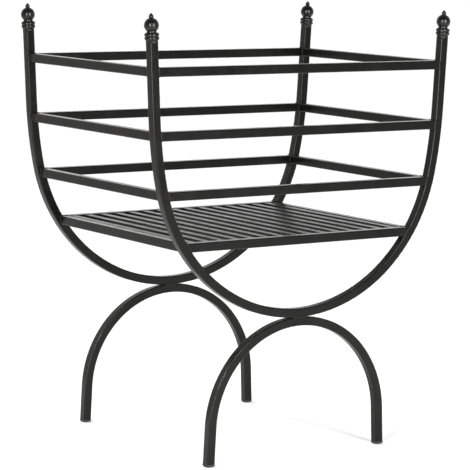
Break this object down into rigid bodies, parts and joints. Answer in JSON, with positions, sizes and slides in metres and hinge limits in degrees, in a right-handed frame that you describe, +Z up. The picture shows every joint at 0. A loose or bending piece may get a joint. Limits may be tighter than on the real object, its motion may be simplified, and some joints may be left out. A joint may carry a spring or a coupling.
{
  "type": "firewood log rack",
  "caption": "Free-standing firewood log rack: two bent-tube hoops with ball finials on arched legs, joined by rails around a slatted grate.",
  "frame": {"origin": "on the floor, at the middle of the four feet", "axes": "+Z up, X along the logs and the wide side, Y from the front hoop (-Y) to the rear hoop (+Y)"},
  "size_m": [0.419, 0.2882, 0.5077],
  "materials": {
    "frame_coat": "satin black powder coat on square steel tube",
    "grate_coat": "satin black powder coat on flat steel bar",
    "finial_coat": "satin black powder coat on turned steel",
    "plug_nylon": "moulded black plastic"
  },
  "bodies": {
    "root": {"front_hoop": "frame_coat", "rear_hoop": "frame_coat", "front_leg_arch": "frame_coat", "rear_leg_arch": "frame_coat", "front_rail_1": "frame_coat", "front_rail_2": "frame_coat", "front_rail_3": "frame_coat", "front_rail_4": "frame_coat", "rear_rail_1": "frame_coat", "rear_rail_2": "frame_coat", "rear_rail_3": "frame_coat", "rear_rail_4": "frame_coat", "left_rail_1": "frame_coat", "left_rail_2": "frame_coat", "left_rail_3": "frame_coat", "left_rail_4": "frame_coat", "right_rail_1": "frame_coat", "right_rail_2": "frame_coat", "right_rail_3": "frame_coat", "right_rail_4": "frame_coat", "grate_bar_1": "grate_coat", "grate_bar_2": "grate_coat", "grate_bar_3": "grate_coat", "grate_bar_4": "grate_coat", "grate_bar_5": "grate_coat", "grate_bar_6": "grate_coat", "grate_bar_7": "grate_coat", "grate_bar_8": "grate_coat", "grate_bar_9": "grate_coat", "grate_bar_10": "grate_coat", "grate_bar_11": "grate_coat", "grate_bar_12": "grate_coat", "grate_bar_13": "grate_coat", "grate_bar_14": "grate_coat", "grate_bar_15": "grate_coat", "finial_front_left": "finial_coat", "finial_front_right": "finial_coat", "finial_rear_left": "finial_coat", "finial_rear_right": "finial_coat", "foot_plug_front_left": "plug_nylon", "foot_plug_front_right": "plug_nylon", "foot_plug_rear_left": "plug_nylon", "foot_plug_rear_right": "plug_nylon"}
  },
  "joints": []
}
